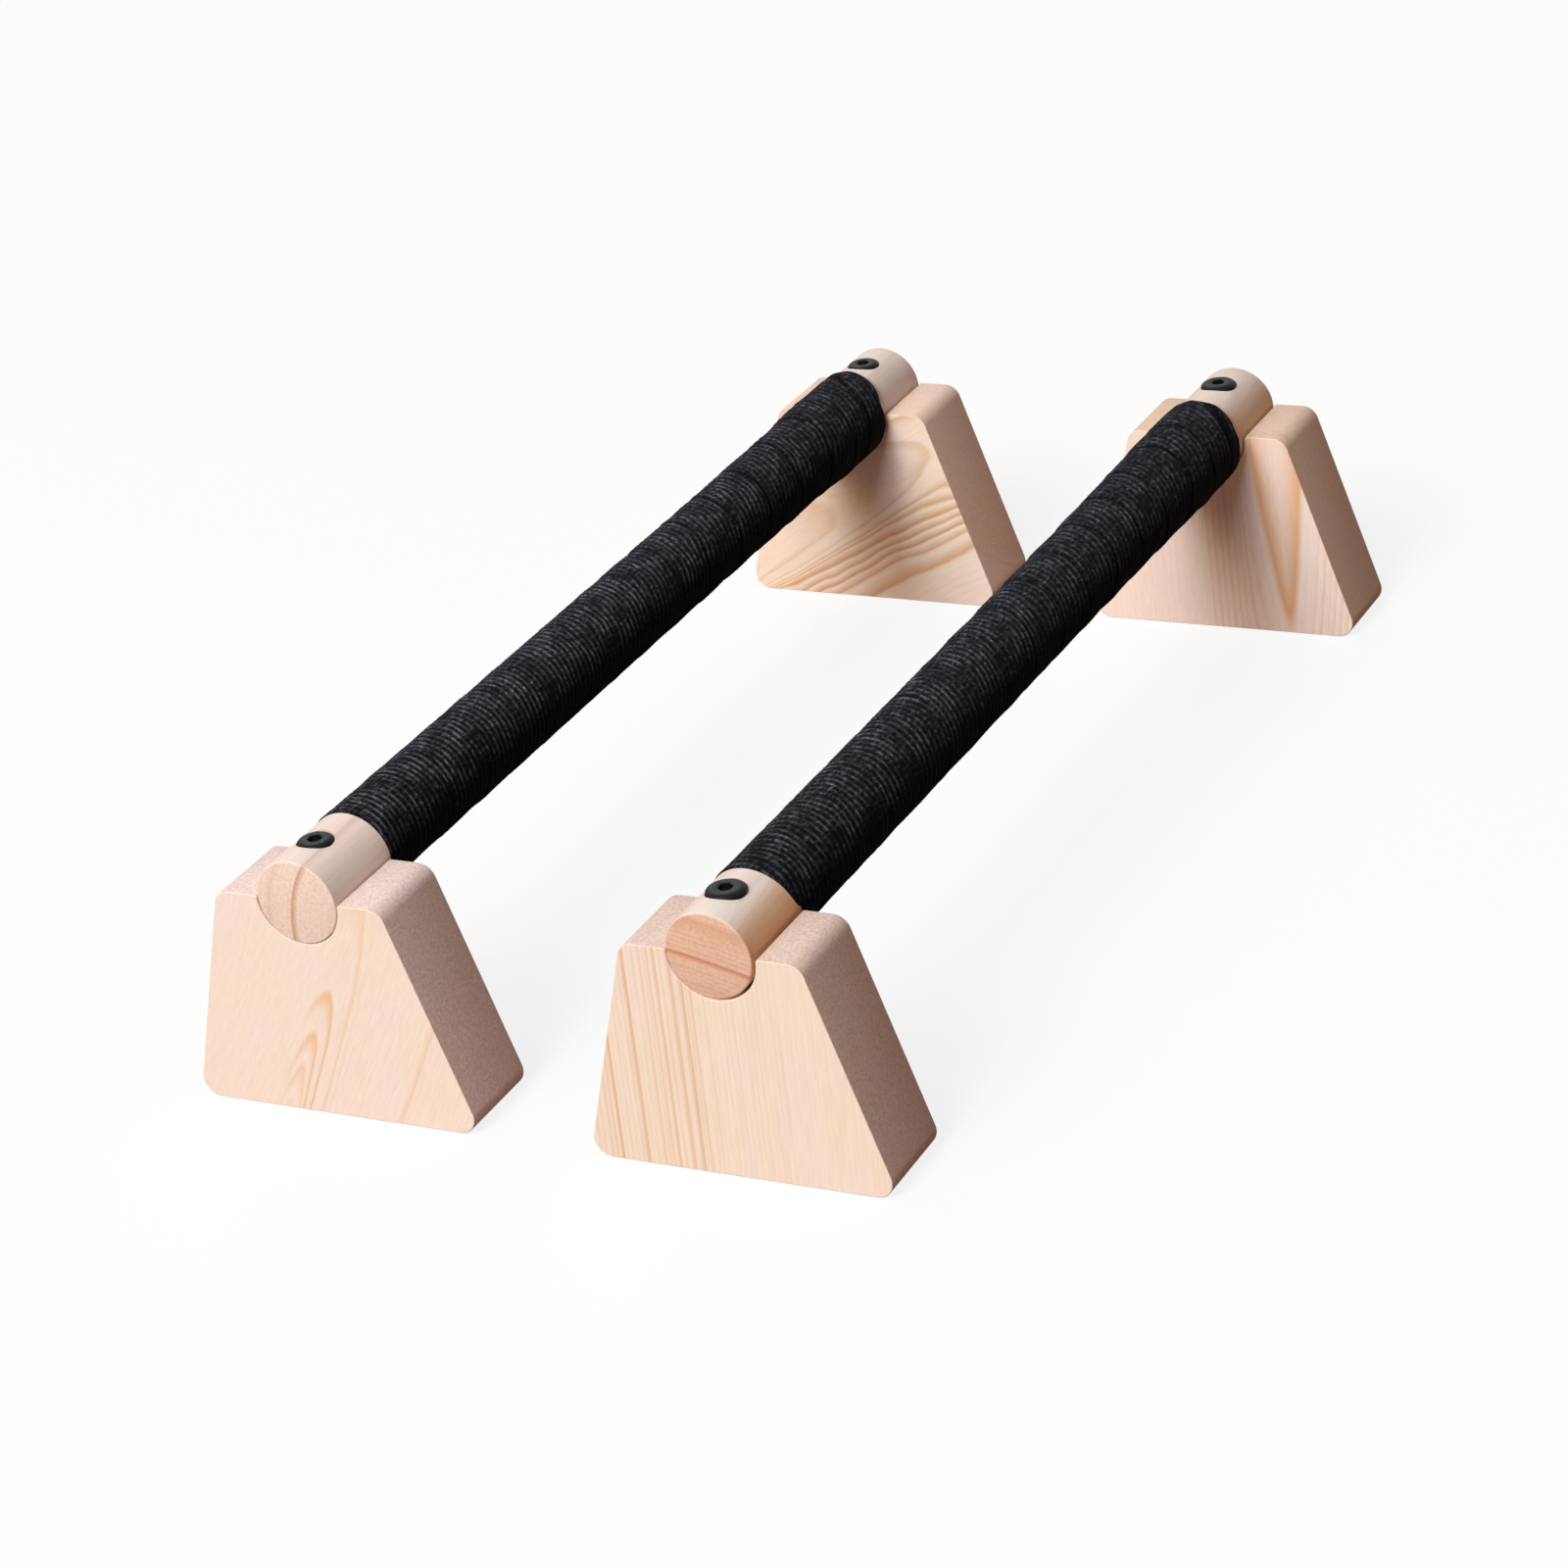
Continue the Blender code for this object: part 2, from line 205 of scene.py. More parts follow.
def timber(name, pith, fibre, pale, blush, late, cut, rings, fine, wave, seed, sawn, fade=(-1, 1, 1, 1),
           taper=(0, 1, 0), flank=(0, 1, 0, 0, "#ffffff")):
    """Planed wood cut from a trunk. Every point has its distance from the pith line, bent a little by slow
    noise and, on one side, growing along the trunk. Chosen years stand out as lines of summer wood that
    darken slowly and stop short; fine years repeat between them. A planed flank may take on another colour:
    the wood's own, with painted warm bounce light of a shaded side over it.
    Sawn faces, told by how far they look along Y, are speckled with open fibre ends.

    Lengths are in mm. rings: distance, width and strength of each year. fine: width and strength. wave:
    length and swing of the bends, and their scale along the fibre. sawn: the looks of planed and of sawn
    faces, the share of the lines on each, and the darkest and lightest speck. fade: two places across the
    trunk and the share of the lines at each. taper: two places across, and the growth by length past the
    second. flank: two places across, the share of its colour at the front and at the rear, and that
    colour."""
    bend_length, bend_swing, bend_stretch = wave
    fine_width, fine_strength = fine
    planed_look, sawn_look, planed_lines, sawn_lines, dark_speck, light_speck = sawn
    fade_from, fade_to, fade_first, fade_last = fade
    taper_from, taper_to, taper_growth = taper
    flank_from, flank_to, flank_front, flank_rear, flank_colour = flank
    material, tree, shader = new_material(name)
    turn = Vector((0, 0, 1)).rotation_difference(Vector(fibre).normalized()).to_euler()
    place = node(tree, "ShaderNodeTexCoord").outputs["Object"]
    trunk = node(tree, "ShaderNodeMapping", {"Vector": place, "Location": pith, "Rotation": turn},
                 vector_type="TEXTURE").outputs["Vector"]

    # Distance from the pith, with slow bends that are longer along the fibre
    slow = node(tree, "ShaderNodeVectorMath", {0: trunk, 1: (1, 1, bend_stretch)},
                operation="MULTIPLY").outputs[0]
    bends = node(tree, "ShaderNodeTexNoise", {"Vector": slow, "W": seed, "Scale": 1 / (bend_length * MM),
                                              "Detail": 1.5, "Roughness": 0.45}, noise_dimensions="4D")
    offset = node(tree, "ShaderNodeVectorMath", {0: bends.outputs["Color"], 1: (0.5, 0.5, 0.5)},
                  operation="SUBTRACT")
    swing = 2 * bend_swing * MM
    bent = node(tree, "ShaderNodeVectorMath", {0: offset.outputs[0], 1: (swing, swing, 0), 2: trunk},
                operation="MULTIPLY_ADD").outputs[0]
    flat = node(tree, "ShaderNodeVectorMath", {0: bent, 1: (1, 1, 0)}, operation="MULTIPLY")
    radius = node(tree, "ShaderNodeVectorMath", {0: flat.outputs[0]}, operation="LENGTH").outputs["Value"]
    part_of = node(tree, "ShaderNodeSeparateXYZ", {0: trunk}).outputs
    growth = node(tree, "ShaderNodeMapRange", {"Value": part_of["X"], "From Min": taper_from * MM,
                                               "From Max": taper_to * MM, "To Min": 0.0,
                                               "To Max": -taper_growth})
    radius = node(tree, "ShaderNodeMath", {0: part_of["Z"], 1: growth.outputs[0], 2: radius},
                  operation="MULTIPLY_ADD").outputs[0]

    # Chosen years, as stops of a ramp over the distances that the piece holds
    low, high = rings[0][0] - rings[0][1] - 1, rings[-1][0] + 2
    span = node(tree, "ShaderNodeMapRange", {"Value": radius, "From Min": low * MM, "From Max": high * MM})
    years = node(tree, "ShaderNodeValToRGB", {"Fac": span.outputs[0]})
    stops = [(0.0, (0, 0, 0, 1))]
    for distance, width, strength in rings:
        for edge, level in ((-1.0, 0.0), (0.0, strength), (0.35, 0.0)):
            stops.append(((distance + edge * width - low) / (high - low), (level, level, level, 1)))
    set_stops(years, stops)

    # Fine years
    count = node(tree, "ShaderNodeMath", {0: radius, 1: fine_width * MM}, operation="DIVIDE").outputs[0]
    season = node(tree, "ShaderNodeMath", {0: count}, operation="FRACT").outputs[0]
    year = node(tree, "ShaderNodeMath", {0: count}, operation="FLOOR").outputs[0]
    luck = node(tree, "ShaderNodeTexWhiteNoise", {"W": year}, noise_dimensions="1D").outputs["Value"]
    late_wood = node(tree, "ShaderNodeMath", {0: season, 1: 3.0}, operation="POWER").outputs[0]
    part = node(tree, "ShaderNodeMapRange", {"Value": luck, "To Min": 0.3 * fine_strength,
                                             "To Max": fine_strength})
    faint = node(tree, "ShaderNodeMath", {0: late_wood, 1: part.outputs[0]}, operation="MULTIPLY").outputs[0]
    lines = node(tree, "ShaderNodeMath", {0: years.outputs["Color"], 1: faint},
                 operation="MAXIMUM").outputs[0]
    bold = node(tree, "ShaderNodeMapRange", {"Value": part_of["X"], "From Min": fade_from * MM,
                                             "From Max": fade_to * MM, "To Min": fade_first,
                                             "To Max": fade_last})
    lines = node(tree, "ShaderNodeMath", {0: lines, 1: bold.outputs[0]}, operation="MULTIPLY").outputs[0]

    # Sawn faces
    facing = node(tree, "ShaderNodeNewGeometry").outputs["True Normal"]
    along = node(tree, "ShaderNodeVectorMath", {0: facing, 1: (0, 1, 0)},
                 operation="DOT_PRODUCT").outputs["Value"]
    along = node(tree, "ShaderNodeMath", {0: along}, operation="ABSOLUTE").outputs[0]
    open_end = node(tree, "ShaderNodeMapRange", {"Value": along, "From Min": planed_look,
                                                 "From Max": sawn_look}).outputs[0]
    shown = node(tree, "ShaderNodeMapRange", {"Value": open_end, "To Min": planed_lines,
                                              "To Max": sawn_lines}).outputs[0]
    summer = node(tree, "ShaderNodeMath", {0: lines, 1: shown}, operation="MULTIPLY").outputs[0]
    planed = node(tree, "ShaderNodeMath", {0: 1.0, 1: open_end}, operation="SUBTRACT").outputs[0]
    # Share of the flank colour, across the trunk and along it: partly wood, partly painted warm bounce light
    flank_share = node(tree, "ShaderNodeMapRange", {"Value": part_of["Z"], "From Min": -FLANK_END,
                                                "From Max": FLANK_END, "To Min": flank_front,
                                                "To Max": flank_rear}).outputs[0]
    flank_tint = node(tree, "ShaderNodeMapRange", {"Value": part_of["X"], "From Min": flank_from * MM,
                                              "From Max": flank_to * MM, "To Max": flank_share}).outputs[0]
    flank_tint = node(tree, "ShaderNodeMath", {0: flank_tint, 1: planed}, operation="MULTIPLY").outputs[0]

    # Colour: two tones in soft patches, the summer wood, short fibres, and the specks of the sawn faces
    patch = node(tree, "ShaderNodeTexNoise", {"Vector": slow, "W": seed + 5, "Scale": 1 / (16 * MM),
                                              "Detail": 2.0}, noise_dimensions="4D").outputs["Fac"]
    tone = node(tree, "ShaderNodeMapRange", {"Value": patch, "From Min": 0.38, "From Max": 0.62})
    spring = node(tree, "ShaderNodeMix", {"Factor": tone.outputs[0], "A": linear(pale), "B": linear(blush)},
                  data_type="RGBA").outputs["Result"]
    # The flank: partly the wood's own orange, partly painted warm bounce light on a shaded side
    spring = node(tree, "ShaderNodeMix", {"Factor": flank_tint, "A": spring, "B": linear(flank_colour)},
                  data_type="RGBA").outputs["Result"]
    wood = node(tree, "ShaderNodeMix", {"Factor": summer, "A": spring, "B": linear(late)},
                data_type="RGBA").outputs["Result"]
    # Fibres and pores are drawn coarser than life, so that they still show
    drawn = node(tree, "ShaderNodeVectorMath", {0: trunk, 1: (1, 1, 0.05)}, operation="MULTIPLY").outputs[0]
    fibres = node(tree, "ShaderNodeTexNoise", {"Vector": drawn, "Scale": 1 / (0.9 * MM), "Detail": 3.0,
                                               "Roughness": 0.6}).outputs["Fac"]
    pores = node(tree, "ShaderNodeTexNoise", {"Vector": place, "Scale": 1 / (1.1 * MM), "Detail": 3.0,
                                              "Roughness": 0.7}).outputs["Fac"]
    shade = node(tree, "ShaderNodeMapRange", {"Value": fibres, "From Min": 0.3, "From Max": 0.7,
                                              "To Min": 0.95, "To Max": 1.04}).outputs[0]
    speckle = node(tree, "ShaderNodeMapRange", {"Value": pores, "From Min": 0.3, "From Max": 0.7,
                                                "To Min": dark_speck, "To Max": light_speck}).outputs[0]
    grain = node(tree, "ShaderNodeMix", {"Factor": open_end, "A": shade, "B": speckle}).outputs["Result"]
    ended = node(tree, "ShaderNodeMix", {"Factor": open_end, "A": (1, 1, 1, 1), "B": linear(cut)},
                 data_type="RGBA").outputs["Result"]
    wood = node(tree, "ShaderNodeVectorMath", {0: wood, 1: ended}, operation="MULTIPLY").outputs[0]
    wood = node(tree, "ShaderNodeVectorMath", {0: wood, "Scale": grain}, operation="SCALE").outputs[0]

    # Gloss and relief
    rough = node(tree, "ShaderNodeMapRange", {"Value": fibres, "To Min": 0.58, "To Max": 0.74})
    relief = node(tree, "ShaderNodeMix", {"Factor": open_end, "A": fibres, "B": pores}).outputs["Result"]
    relief = node(tree, "ShaderNodeMath", {0: summer, 1: 0.5, 2: relief}, operation="MULTIPLY_ADD")
    bump = node(tree, "ShaderNodeBump", {"Strength": 0.35, "Distance": 0.15 * MM,
                                         "Height": relief.outputs[0]})
    tree.links.new(wood, shader.inputs["Base Color"])
    tree.links.new(rough.outputs[0], shader.inputs["Roughness"])
    tree.links.new(bump.outputs[0], shader.inputs["Normal"])
    shader.inputs["IOR"].default_value = 1.5
    shader.inputs["Specular IOR Level"].default_value = 0.3
    return material


def bandage():
    """Black cohesive crepe bandage. Elastic threads stand up as ridges with painted highlights in short
    beads, painted lighter on the top of the rail where the light falls and dark below it, with a few bright
    specks of lint; the gauze between them is puckered and nearly black, painted greyer on the top, and
    painted black as shade in the creases where one lap meets the next."""
    material, tree, shader = new_material("crepe_bandage")
    place = node(tree, "ShaderNodeTexCoord").outputs["Object"]
    ridge = node(tree, "ShaderNodeAttribute", attribute_name="ridge").outputs["Fac"]
    crease = node(tree, "ShaderNodeAttribute", attribute_name="crease").outputs["Fac"]

    # Beads, puckers and lint, drawn coarser than life so that they still show
    round_rail = node(tree, "ShaderNodeVectorMath", {0: place, 1: (1, 1.8, 1)},
                      operation="MULTIPLY").outputs[0]
    along_rail = node(tree, "ShaderNodeVectorMath", {0: place, 1: (1, 0.3, 1)},
                      operation="MULTIPLY").outputs[0]
    thread = node(tree, "ShaderNodeTexNoise", {"Vector": round_rail, "Scale": 1 / (1.9 * MM), "Detail": 1.0,
                                               "Roughness": 0.5}).outputs["Fac"]
    pucker = node(tree, "ShaderNodeTexNoise", {"Vector": along_rail, "Scale": 1 / (1.3 * MM), "Detail": 2.0,
                                               "Roughness": 0.6}).outputs["Fac"]
    lint = node(tree, "ShaderNodeTexNoise", {"Vector": place, "Scale": 1 / (1.4 * MM),
                                             "Detail": 2.0}).outputs["Fac"]

    # How much painted light each place catches: highlights in beads on the ridges, and fuzz
    spot = node(tree, "ShaderNodeSeparateXYZ", {0: place}).outputs
    # Painted light: brighter on the top of the rail, where the lamps fall, and nearly black below it
    painted_top_light = node(tree, "ShaderNodeMapRange", {"Value": spot["Z"], "From Min": AXIS_Z + 1 * MM,
                                               "From Max": AXIS_Z + 15 * MM, "To Min": 0.1}).outputs[0]
    dash = node(tree, "ShaderNodeMapRange", {"Value": thread, "From Min": 0.42, "From Max": 0.60,
                                             "To Min": 0.2}).outputs[0]
    gaps = node(tree, "ShaderNodeMapRange", {"Value": pucker, "From Min": 0.35, "From Max": 0.6,
                                             "To Min": 0.6})
    lit = node(tree, "ShaderNodeMath", {0: dash, 1: ridge}, operation="MULTIPLY").outputs[0]
    fuzz = node(tree, "ShaderNodeMapRange", {"Value": pucker, "From Min": 0.5, "From Max": 0.72,
                                             "To Max": 0.26})
    lit = node(tree, "ShaderNodeMath", {0: lit, 1: gaps.outputs[0], 2: fuzz.outputs[0]},
               operation="MULTIPLY_ADD").outputs[0]
    lit = node(tree, "ShaderNodeMath", {0: lit, 1: painted_top_light}, operation="MULTIPLY").outputs[0]
    speck = node(tree, "ShaderNodeMapRange", {"Value": lint, "From Min": 0.64, "From Max": 0.74}).outputs[0]
    speck = node(tree, "ShaderNodeMath", {0: speck, 1: lit}, operation="MULTIPLY").outputs[0]
    # The gauze greyer in its puckers, painted lighter on the top of the rail
    grey = node(tree, "ShaderNodeMath", {0: pucker, 1: painted_top_light}, operation="MULTIPLY").outputs[0]
    # The gauze greyer from the front end of the grip to its middle
    grey_along = node(tree, "ShaderNodeMapRange", {"Value": spot["Y"], "From Min": -200 * MM, "From Max": 0.0,
                                             "To Min": 0.5}).outputs[0]
    grey = node(tree, "ShaderNodeMath", {0: grey, 1: grey_along}, operation="MULTIPLY").outputs[0]

    # Colour, with painted shade in the creases, and relief
    gauze = node(tree, "ShaderNodeMix", {"Factor": grey, "A": linear("#08080a"), "B": linear("#26272d")},
                 data_type="RGBA").outputs["Result"]
    # Painted highlights: the ridges mixed towards light grey where they catch the light
    colour = node(tree, "ShaderNodeMix", {"Factor": lit, "A": gauze, "B": linear("#70757d")},
                  data_type="RGBA").outputs["Result"]
    colour = node(tree, "ShaderNodeMix", {"Factor": speck, "A": colour, "B": linear("#b4b4c0")},
                  data_type="RGBA").outputs["Result"]
    open_part = node(tree, "ShaderNodeMath", {0: 1.0, 1: crease}, operation="SUBTRACT").outputs[0]
    colour = node(tree, "ShaderNodeVectorMath", {0: colour, "Scale": open_part}, operation="SCALE").outputs[0]
    relief = node(tree, "ShaderNodeMath", {0: ridge, 1: thread}, operation="MULTIPLY").outputs[0]
    relief = node(tree, "ShaderNodeMath", {0: pucker, 1: 0.5, 2: relief}, operation="MULTIPLY_ADD").outputs[0]
    bump = node(tree, "ShaderNodeBump", {"Strength": 0.8, "Distance": 0.35 * MM, "Height": relief})
    tree.links.new(colour, shader.inputs["Base Color"])
    tree.links.new(bump.outputs[0], shader.inputs["Normal"])
    shader.inputs["Roughness"].default_value = 0.95
    shader.inputs["Specular IOR Level"].default_value = 0.02
    shader.inputs["Sheen Weight"].default_value = 0.04
    shader.inputs["Sheen Roughness"].default_value = 0.4
    shader.inputs["Sheen Tint"].default_value = linear("#b0b0c4")
    return material


def black_oxide():
    """Blackened steel, satin, with faint tumbling marks that vary its gloss."""
    material, tree, shader = new_material("black_oxide_steel")
    place = node(tree, "ShaderNodeTexCoord").outputs["Object"]
    marks = node(tree, "ShaderNodeTexNoise", {"Vector": place, "Scale": 1 / (1.2 * MM),
                                              "Detail": 4.0}).outputs["Fac"]
    colour = node(tree, "ShaderNodeMix", {"Factor": marks, "A": linear("#070708"), "B": linear("#121213")},
                  data_type="RGBA")
    rough = node(tree, "ShaderNodeMapRange", {"Value": marks, "To Min": 0.34, "To Max": 0.55})
    bump = node(tree, "ShaderNodeBump", {"Strength": 0.15, "Distance": 0.05 * MM, "Height": marks})
    tree.links.new(colour.outputs["Result"], shader.inputs["Base Color"])
    tree.links.new(rough.outputs[0], shader.inputs["Roughness"])
    tree.links.new(bump.outputs[0], shader.inputs["Normal"])
    shader.inputs["Specular IOR Level"].default_value = 0.14
    return material


def cast_zinc():
    """Die-cast zinc alloy of the insert nuts: grey metal with a grainy skin."""
    material, tree, shader = new_material("cast_zinc")
    place = node(tree, "ShaderNodeTexCoord").outputs["Object"]
    grain = node(tree, "ShaderNodeTexNoise", {"Vector": place, "Scale": 1 / (0.8 * MM),
                                              "Detail": 3.0}).outputs["Fac"]
    colour = node(tree, "ShaderNodeMix", {"Factor": grain, "A": linear("#b2b0a8"), "B": linear("#d2d0c8")},
                  data_type="RGBA")
    rough = node(tree, "ShaderNodeMapRange", {"Value": grain, "To Min": 0.3, "To Max": 0.5})
    tree.links.new(colour.outputs["Result"], shader.inputs["Base Color"])
    tree.links.new(rough.outputs[0], shader.inputs["Roughness"])
    shader.inputs["Metallic"].default_value = 1.0
    return material


def skin(name, rings, material, tube=False, sharp=math.radians(40)):
    """A closed mesh over a stack of rings, an array of ring, point and x y z: quads join each ring to the
    next. Flat caps close the first and last ring, or a tube joins the last ring back to the first."""
    count, points = rings.shape[:2]
    near = np.arange(count if tube else count - 1)[:, None] * points
    far = (near + points) % (count * points)
    here = np.arange(points)[None, :]
    there = (here + 1) % points
    quads = np.stack([near + here, far + here, far + there, near + there], axis=-1).reshape(-1, 4)
    corners = rings.reshape(-1, 3)
    a, b, c, d = (corners[quads[:, n]] - corners[0] for n in range(4))
    volume = np.einsum("ij,ij->", a, np.cross(b, c)) + np.einsum("ij,ij->", a, np.cross(c, d))
    faces = (quads if volume > 0 else quads[:, ::-1]).tolist()
    if not tube:
        first, last = np.arange(points), (count - 1) * points + np.arange(points)
        caps = (first, last[::-1]) if volume > 0 else (first[::-1], last)
        faces += [cap.tolist() for cap in caps]
    mesh = bpy.data.meshes.new(name)
    mesh.from_pydata(corners, [], faces)
    mesh.shade_smooth()
    mesh.set_sharp_from_angle(angle=sharp)
    if not tube:
        for face in mesh.polygons[len(faces) - 2:]:
            face.use_smooth = False
    piece = bpy.data.objects.new(name, mesh)
    bpy.context.scene.collection.objects.link(piece)
    mesh.materials.append(material)
    return piece


def stand_for(piece, side, part):
    """The piece rides on its bar and takes the place of one node."""
    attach(piece, side + "_bar")
    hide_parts(part)


def around(points):
    """Even angles round a full circle."""
    return np.linspace(0, 2 * math.pi, points + 1)[:-1]


def rounded_edge(radius):
    """A quarter circle from a flat face to the side of a piece: how far each step lies from the face, and how
    far the outline is drawn in there."""
    turn = np.linspace(0, math.pi / 2, EDGE_STEPS + 1)
    return radius * (1 - np.cos(turn)), radius * (1 - np.sin(turn))


def arc(centre, radius, start, end, steps):
    """Points on a circle from one angle to another, in the X Z plane."""
    angle = np.linspace(start, end, steps + 1)
    return np.stack([centre[0] + radius * np.cos(angle), centre[1] + radius * np.sin(angle)], axis=1)


def half_outline(height, shift, groove):
    """The right half of a foot's outline, from its bottom right corner up to the middle of the groove:
    rounded corners, a flat land and a groove whose lip is rounded by a circle that touches both land and
    groove."""
    side = math.atan2(FOOT_BASE_HALF - FOOT_TOP_HALF, height)
    normal = np.array([math.cos(side), math.sin(side)])
    low_z, high_z = FOOT_BASE_RADIUS, height - FOOT_TOP_RADIUS
    low_x = FOOT_BASE_HALF - (FOOT_BASE_RADIUS + normal[1] * low_z) / normal[0]
    high_x = FOOT_BASE_HALF - (FOOT_TOP_RADIUS + normal[1] * high_z) / normal[0]
    lip_z = height - GROOVE_LIP_RADIUS
    lip_x = math.sqrt((groove + GROOVE_LIP_RADIUS) ** 2 - (lip_z - GROOVE_Z) ** 2)
    lip = math.atan2(lip_z - GROOVE_Z, lip_x)
    return np.concatenate([
        arc((low_x, low_z), FOOT_BASE_RADIUS, -math.pi / 2, side, 10),
        arc((high_x, high_z), FOOT_TOP_RADIUS, side, math.pi / 2, 10),
        arc((shift + lip_x, lip_z), GROOVE_LIP_RADIUS, math.pi / 2, math.pi + lip, 6),
        arc((shift, GROOVE_Z), groove, lip, -math.pi / 2, 24)[1:]])


def foot_outline(height, shift, groove):
    """The foot seen along the rail, anticlockwise: the right half, then the left half as its mirror image,
    with the groove moved over by the shift."""
    left = half_outline(height, -shift, groove)[-2::-1] * (-1, 1)
    return np.concatenate([half_outline(height, shift, groove), left])


def inset(outline, depth):
    """A closed outline moved inwards: each point goes along the mean of its two edges' normals."""
    edge = np.roll(outline, -1, axis=0) - outline
    edge /= np.linalg.norm(edge, axis=1)[:, None]
    across = edge + np.roll(edge, 1, axis=0)
    across /= np.linalg.norm(across, axis=1)[:, None]
    return outline + depth * np.stack([-across[:, 1], across[:, 0]], axis=1)


def foot(side, end, material):
    """The outline carried through the foot's thickness; near each face it draws in along a quarter circle,
    which rounds the edge."""
    part = side + "_" + end + "_foot"
    low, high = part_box(part)
    outline = foot_outline(high[2], GROOVE_SHIFT.get(side + "_" + end, 0),
                           RAIL_RADIUS + GROOVE_PLAY.get(side + "_" + end, GROOVE_USUAL_PLAY))
    along, depth = rounded_edge(FOOT_EDGE_RADIUS)
    stations = [*zip(low[1] + along, depth), *zip((high[1] - along)[::-1], depth[::-1])]
    rings = []
    for y, drawn in stations:
        ring = inset(outline, drawn)
        rings.append(np.stack([BAR_X[side] + ring[:, 0], np.full(len(ring), y), ring[:, 1]], axis=1))
    piece = skin(side + "_" + end + "_pine_foot", np.array(rings), material)
    stand_for(piece, side, part)


def cut_seats(piece, side):
    """Sink a flat round seat for each bolt head into the top of a rail."""
    for end in ("front", "rear"):
        low, high = (np.array(corner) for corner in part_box(side + "_" + end + "_bolt"))
        middle = (low + high) / 2
        seat = AXIS_Z + RAIL_RADIUS - SEAT_DEPTH - HEAD_SINK[side]
        angle = around(SEAT_POINTS)
        ring = (HEAD_RADIUS[side] + SEAT_PLAY) * np.stack([np.cos(angle), np.sin(angle), 0 * angle], axis=1)
        tool = skin("seat_tool", np.array([ring + (middle[0], middle[1], z)
                                           for z in (seat, seat + SEAT_TOOL_HEIGHT)]), None)
        cut = piece.modifiers.new("seat", "BOOLEAN")
        cut.object = tool
        bpy.context.view_layer.update()
        shown = piece.evaluated_get(bpy.context.evaluated_depsgraph_get())
        mesh = bpy.data.meshes.new_from_object(shown)
        piece.modifiers.clear()
        piece.data = mesh
        bpy.data.objects.remove(tool, do_unlink=True)
    piece.data.shade_smooth()
    piece.data.set_sharp_from_angle(angle=math.radians(30))


def handrail(side, material):
    """A round rail: a circle carried along Y, drawn in along a quarter circle at each end."""
    along, drawn = rounded_edge(RAIL_EDGE_RADIUS)
    y = np.concatenate([-RAIL_HALF + along, RAIL_HALF - along[::-1]])
    radius = RAIL_RADIUS - np.concatenate([drawn, drawn[::-1]])
    angle = around(RAIL_POINTS)
    rings = np.stack([BAR_X[side] + radius[:, None] * np.cos(angle), y[:, None] + 0 * angle,
                      AXIS_Z + radius[:, None] * np.sin(angle)], axis=-1)
    piece = skin(side + "_beech_rail", rings, material)
    cut_seats(piece, side)
    stand_for(piece, side, side + "_handrail")


def bolt(side, end, material):
    """A turned bolt with a hex socket: the profile is swept round Z, and in the socket its radius follows a
    hexagon, half the flats over the cosine of the angle from the nearest flat."""
    part = side + "_" + end + "_bolt"
    low, high = (np.array(corner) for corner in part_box(part))
    middle, top, tip = (low + high) / 2, high[2] - HEAD_SINK[side], low[2]
    seat = AXIS_Z + RAIL_RADIUS - SEAT_DEPTH - HEAD_SINK[side] + SEAT_PLAY
    head = HEAD_RADIUS[side]
    angle = around(BOLT_POINTS)
    hexagon = SOCKET_FLATS / 2 / np.cos((angle + math.pi / 6) % (math.pi / 3) - math.pi / 6)
    mouth = np.full_like(angle, SOCKET_FLATS / math.sqrt(3) + SOCKET_BEVEL)
    dome = np.linspace(0, math.pi / 2, HEAD_DOME_STEPS + 1)
    rise = top - seat - HEAD_RIM
    # From the drill point in the socket over its bevelled mouth, the dome and the rim to the tip
    rings = [(hexagon * 0.05, top - SOCKET_DEPTH - 0.5 * MM), (hexagon * 0.98, top - SOCKET_DEPTH),
             (hexagon, top - SOCKET_DEPTH + 0.1 * MM), (hexagon, top - SOCKET_BEVEL),
             (0.5 * (hexagon + mouth), top - 0.08 * MM), (mouth, top)]
    rings += [(np.full_like(angle, head * (HEAD_FLAT + (1 - HEAD_FLAT) * math.sin(a))),
               seat + HEAD_RIM + rise * math.cos(a)) for a in dome]
    rings += [(np.full_like(angle, r), z) for r, z in (
        (head, seat + HEAD_EDGE), (head - HEAD_EDGE, seat), (SHANK_RADIUS, seat),
        (SHANK_RADIUS, tip + SHANK_CHAMFER), (SHANK_RADIUS - SHANK_CHAMFER, tip))]
    stack = np.array([np.stack([middle[0] + r * np.cos(angle), middle[1] + r * np.sin(angle),
                                np.full_like(angle, z)], axis=1) for r, z in rings])
    piece = skin(side + "_" + end + "_socket_bolt", stack, material, sharp=math.radians(35))
    stand_for(piece, side, part)


def waves(rng, y, phi, count, turns, length):
    """Slow unevenness from -1 to 1 or so: seeded sine waves that go a whole number of times round the
    rail."""
    total = np.zeros(np.broadcast(y, phi).shape)
    for _ in range(count):
        around = rng.integers(-turns, turns + 1)
        along = 2 * math.pi / (length * rng.uniform(0.6, 1.6))
        total += np.sin(around * phi + along * y + rng.uniform(0, 2 * math.pi))
    return total / math.sqrt(count)


def upward(phi, slant):
    """How far round the rail an angle looks up, from 0 at the slant's start to 1 at the top, to its power."""
    start, power = slant
    level = math.sin(math.radians(start))
    return np.clip((np.sin(phi) - level) / (1 - level), 0, 1) ** power


def lap_count(y, laps):
    """How many laps have started by a place along the rail: one a pitch, and at the chosen places near the
    rear end, with straight lines between."""
    first = laps[0]
    starts = first - LAP_PITCH * np.arange(EVEN_LAPS)[::-1]
    starts = np.concatenate([starts, laps[1:], [laps[-1] + 2 * LAP_PITCH]])
    return np.interp(y, starts, np.arange(len(starts)))


